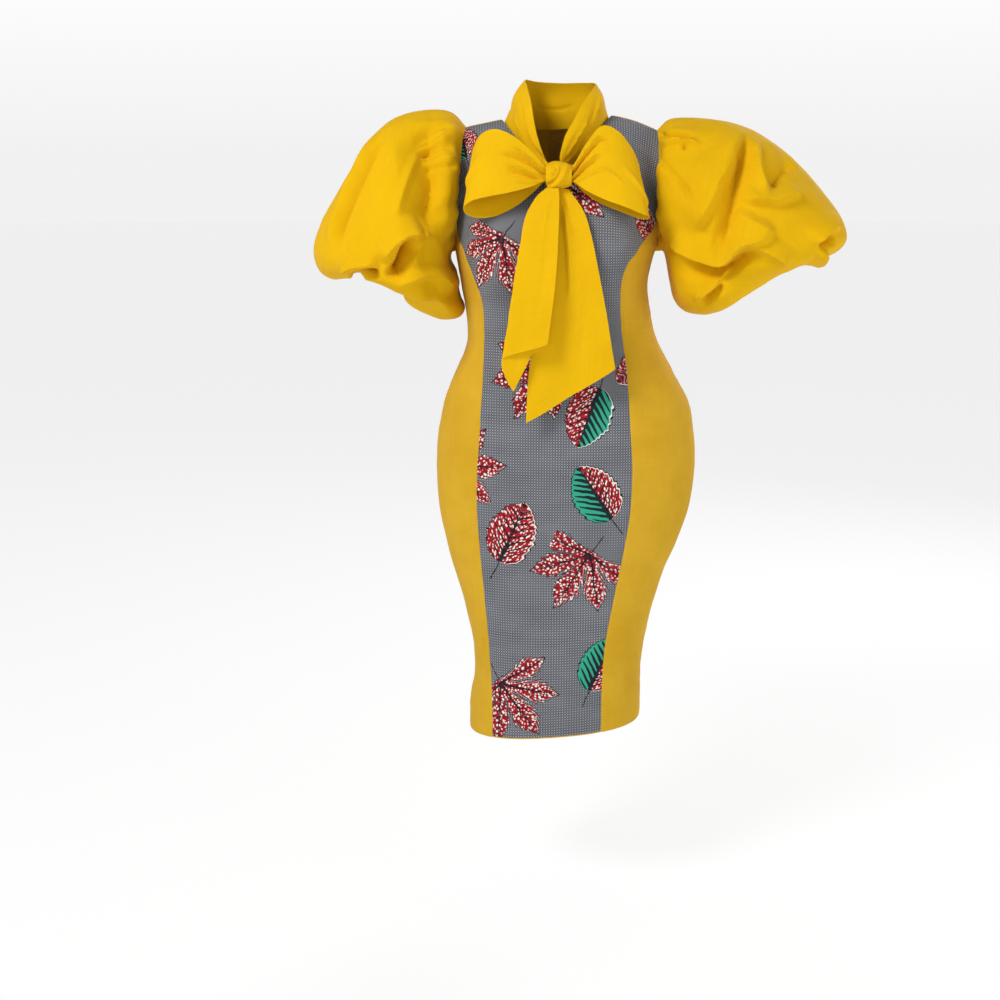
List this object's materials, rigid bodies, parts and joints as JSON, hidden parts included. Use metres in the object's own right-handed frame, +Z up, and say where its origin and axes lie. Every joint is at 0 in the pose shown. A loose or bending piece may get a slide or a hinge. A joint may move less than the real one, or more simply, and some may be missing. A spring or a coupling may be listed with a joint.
{
  "type": "fitted dress with balloon sleeves",
  "caption": "Worn-form fitted calf-length dress: leaf-print front centre panel, plain yellow sides and back, balloon sleeves, tie collar with a bow.",
  "frame": {"origin": "middle of the neck base between the two shoulder seams, where the wearer carries the dress", "axes": "+Z up to the wearer's head, -Y out of the dress's front, +X to the wearer's left"},
  "size_m": [0.9304, 0.363, 1.1707],
  "materials": {
    "yellow_cloth": "smooth stiff plain cotton with a faint sheen",
    "printed_cloth": "matt printed cotton, grey dotted ground with red, cream and green leaves",
    "zip_tape": "matt woven tape",
    "zip_metal": "satin"
  },
  "bodies": {
    "dress": {"front_centre_panel": "printed_cloth", "front_side_right": "yellow_cloth", "front_side_left": "yellow_cloth", "back_right": "yellow_cloth", "back_left": "yellow_cloth", "sleeve_right": "yellow_cloth", "sleeve_left": "yellow_cloth", "sleeve_band_right": "yellow_cloth", "sleeve_band_left": "yellow_cloth", "collar_tie": "yellow_cloth", "bow_knot": "yellow_cloth", "bow_loop_right": "yellow_cloth", "bow_loop_left": "yellow_cloth", "bow_tail_right": "yellow_cloth", "bow_tail_left": "yellow_cloth", "zip_tape": "zip_tape", "zip_slider": "zip_metal"},
    "zip_pull": {"zip_pull": "zip_metal"}
  },
  "joints": [
    {"name": "zip_pull_hinge", "type": "hinge", "parent": "dress", "child": "zip_pull", "pos_m": [0.0059, 0.06852, -0.01976], "axis": [0.9995, 0.024, 0.0225], "range_deg": [0, 120]}
  ]
}
